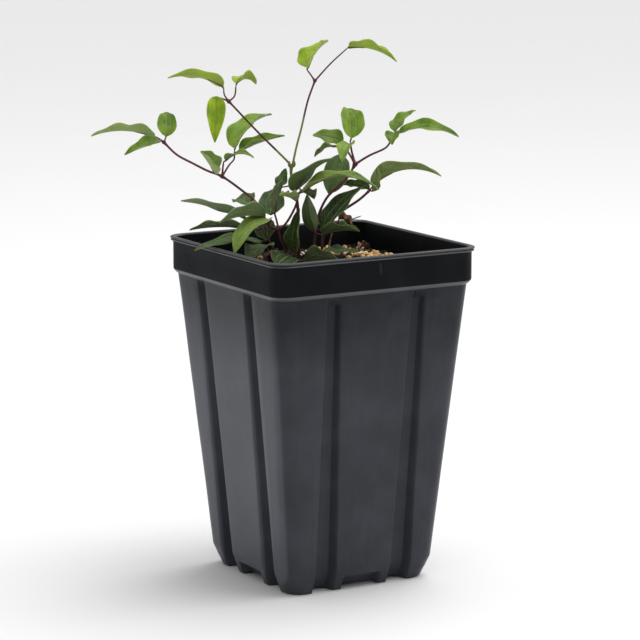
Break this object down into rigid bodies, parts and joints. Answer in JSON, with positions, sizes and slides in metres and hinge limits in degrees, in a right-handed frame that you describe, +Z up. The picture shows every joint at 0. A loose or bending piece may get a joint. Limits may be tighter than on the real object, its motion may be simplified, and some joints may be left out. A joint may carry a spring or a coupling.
{
  "type": "potted clematis",
  "caption": "Young climbing plant with compound leaves on thin dark-red stalks, in a deep square tapered nursery pot with grooved sides.",
  "frame": {"origin": "middle of the pot's foot, on the surface that the pot stands on", "axes": "+Z up; the pot's four flat sides face -Y, +X, +Y and -X; the longest leaf stalk leans towards -X and +Y"},
  "size_m": [0.19, 0.1426, 0.3241],
  "materials": {
    "pot_plastic": "satin",
    "potting_mix": "matte",
    "stem": "satin",
    "leaf_young": "satin",
    "leaf_green": "satin",
    "leaf_dark": "satin",
    "dry_leaf": "matte"
  },
  "bodies": {
    "root": {"nursery_pot": "pot_plastic", "potting_mix": "potting_mix", "main_shoot": "stem", "upper_left_stalk": "stem", "upper_right_stalk": "stem", "left_shoot": "stem", "inner_stalk": "stem", "folded_leaf_stalk": "stem", "low_left_stalk": "stem", "old_stub": "stem", "right_shoot": "stem", "far_right_stalk": "stem", "dry_stalks": "stem", "leaflet_upper_left_end": "leaf_young", "leaflet_upper_left_hanging": "leaf_young", "leaflet_upper_left_inner": "leaf_young", "leaflet_upper_right_inner": "leaf_young", "leaflet_upper_right_end": "leaf_young", "leaflet_left_near_fork": "leaf_green", "leaflet_left_small": "leaf_green", "leaflet_left_upright": "leaf_green", "leaflet_left_reaching": "leaf_green", "leaflet_left_end_long": "leaf_green", "leaflet_left_end_near": "leaf_green", "leaflet_left_end_round": "leaf_green", "leaflet_right_end_long": "leaf_green", "leaflet_right_end_upright": "leaf_green", "leaflet_right_end_hanging": "leaf_green", "leaflet_right_heart": "leaf_green", "leaflet_right_back": "leaf_green", "leaflet_right_pale": "leaf_green", "leaflet_right_small": "leaf_green", "leaflet_right_shade": "leaf_dark", "leaflet_far_right_long": "leaf_green", "leaflet_far_right_back": "leaf_dark", "leaflet_far_right_small": "leaf_green", "leaflet_inner_upper": "leaf_dark", "leaflet_inner_arching": "leaf_green", "leaflet_inner_broad": "leaf_dark", "leaflet_inner_tip": "leaf_dark", "leaflet_inner_folded": "leaf_dark", "leaflet_inner_pale": "leaf_green", "leaflet_inner_hanging": "leaf_dark", "leaflet_left_rim_upper": "leaf_dark", "leaflet_left_rim_pale": "leaf_green", "leaflet_left_behind": "leaf_dark", "leaflet_low_left_back": "leaf_dark", "leaflet_low_left_rim": "leaf_dark", "leaflet_low_left_front": "leaf_dark", "leaflet_low_left_folded": "leaf_dark", "leaflet_low_centre": "leaf_dark", "leaflet_low_front": "leaf_dark", "leaflet_low_upright": "leaf_dark", "leaflet_right_upright": "leaf_dark", "leaflet_right_broad": "leaf_dark", "leaflet_right_low": "leaf_dark", "leaflet_low_right_front": "leaf_dark", "leaflet_low_right_narrow": "leaf_dark", "leaflet_dry_remnant": "dry_leaf"}
  },
  "joints": []
}
